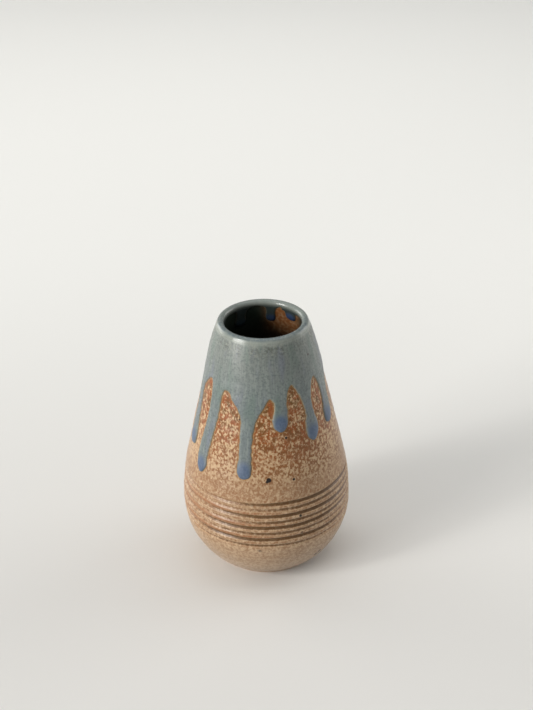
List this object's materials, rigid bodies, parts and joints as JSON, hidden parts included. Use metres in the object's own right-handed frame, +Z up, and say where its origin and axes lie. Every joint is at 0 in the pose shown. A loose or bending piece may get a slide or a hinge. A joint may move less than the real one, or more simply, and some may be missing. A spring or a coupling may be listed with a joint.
{
  "type": "ceramic bud vase",
  "caption": "Small thrown stoneware bud vase with a tapering neck, turned grooves round the belly and a blue rim glaze that runs down in drips over a speckled rust glaze.",
  "frame": {"origin": "middle of the foot, on the surface that the vase stands on", "axes": "+Z up along the vase's axis, out of the mouth; -Y towards the front, +X to the right seen from the front"},
  "size_m": [0.07, 0.07, 0.11],
  "materials": {
    "stoneware_clay": "unglazed, matt",
    "speckled_glaze": "satin, speckled rust and cream",
    "liner_glaze": "satin, rust brown",
    "rim_glaze": "glossy, grey blue with streaks"
  },
  "bodies": {
    "root": {"clay_body": "stoneware_clay", "base_glaze": "speckled_glaze", "liner_glaze": "liner_glaze", "drip_glaze": "rim_glaze"}
  },
  "joints": []
}
